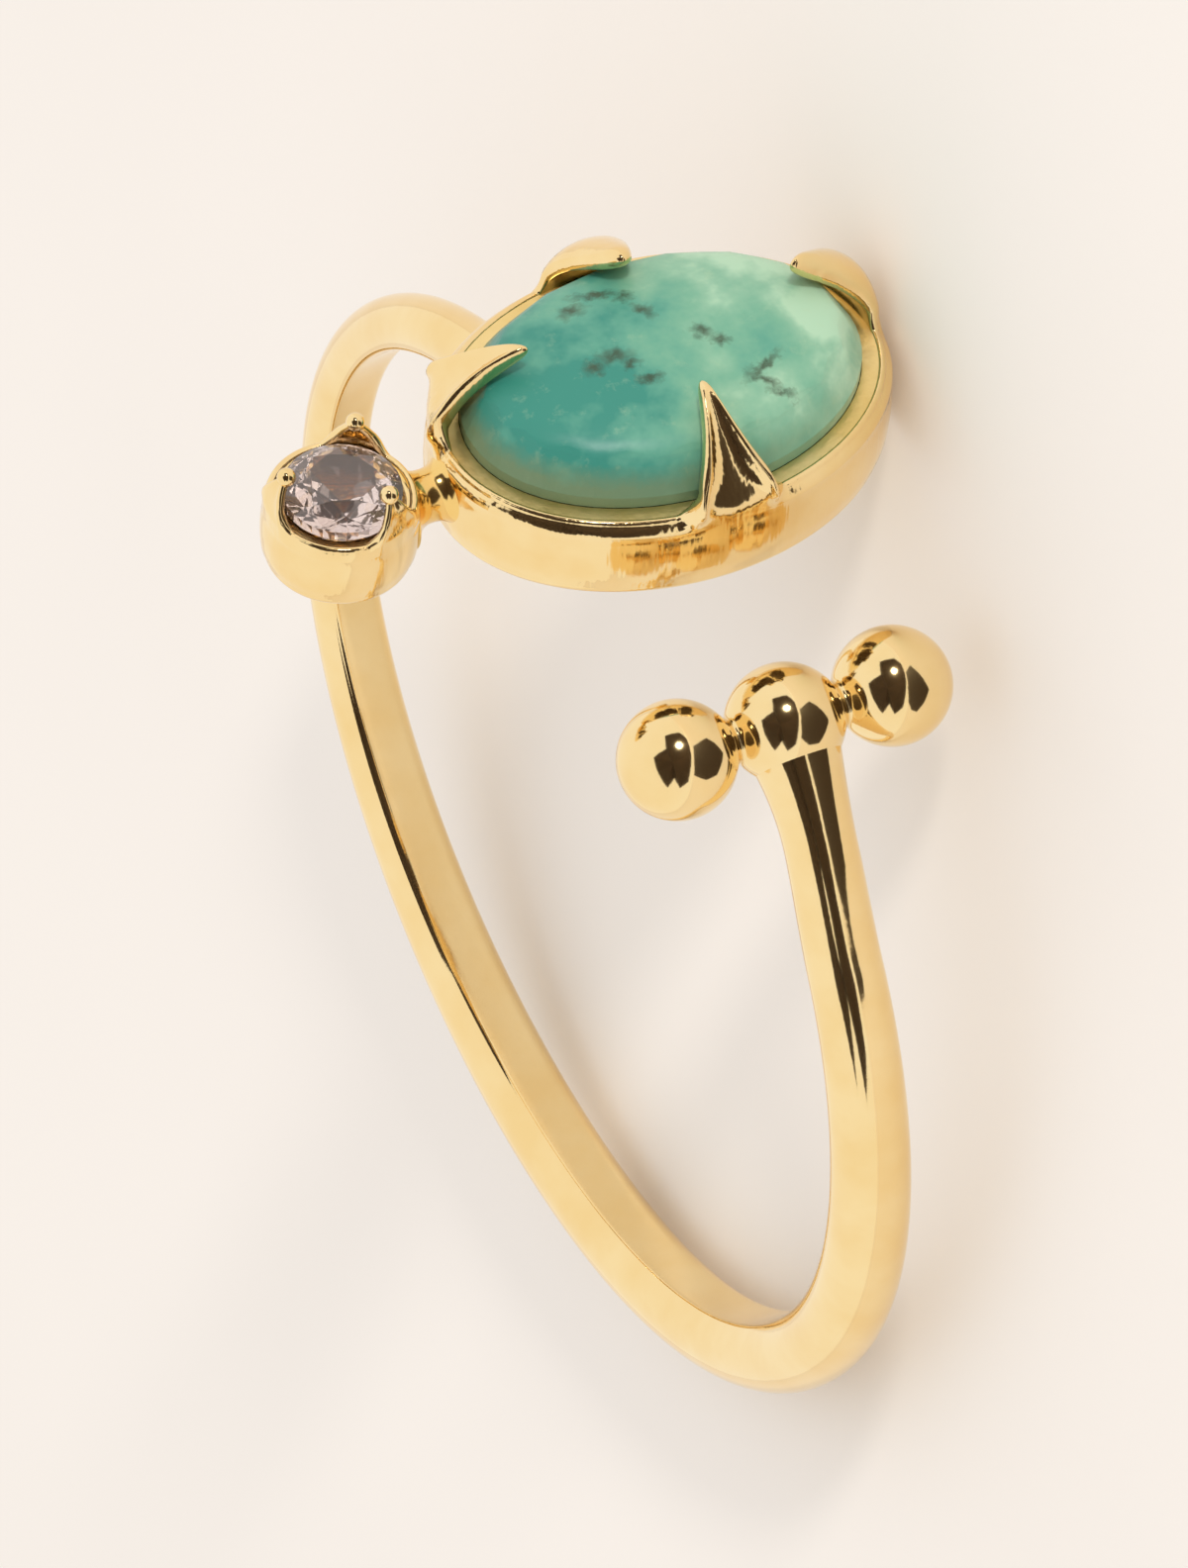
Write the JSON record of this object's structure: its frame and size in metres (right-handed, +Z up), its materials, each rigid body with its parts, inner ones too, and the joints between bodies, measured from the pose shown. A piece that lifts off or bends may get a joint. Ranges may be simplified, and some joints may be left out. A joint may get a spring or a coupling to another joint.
{
  "type": "stackable ring",
  "caption": "Slim open ring with an oval turquoise in a clawed cup beside a small clear round stone, and a bar of balls at its other end.",
  "frame": {"origin": "below the middle of the ring's box, on the surface that it lies on", "axes": "+Z up from that surface, 12 degrees off the finger's line; -Y the side that the oval stone looks towards; +X to the right of that"},
  "size_m": [0.02, 0.0214, 0.0112],
  "materials": {
    "gold_metal": "polished gold plate",
    "turquoise": "polished turquoise with fine dark matrix",
    "clear_stone": "cut and polished clear stone"
  },
  "bodies": {
    "root": {"ring_metal": "gold_metal", "oval_stone": "turquoise", "round_stone": "clear_stone"}
  },
  "joints": []
}
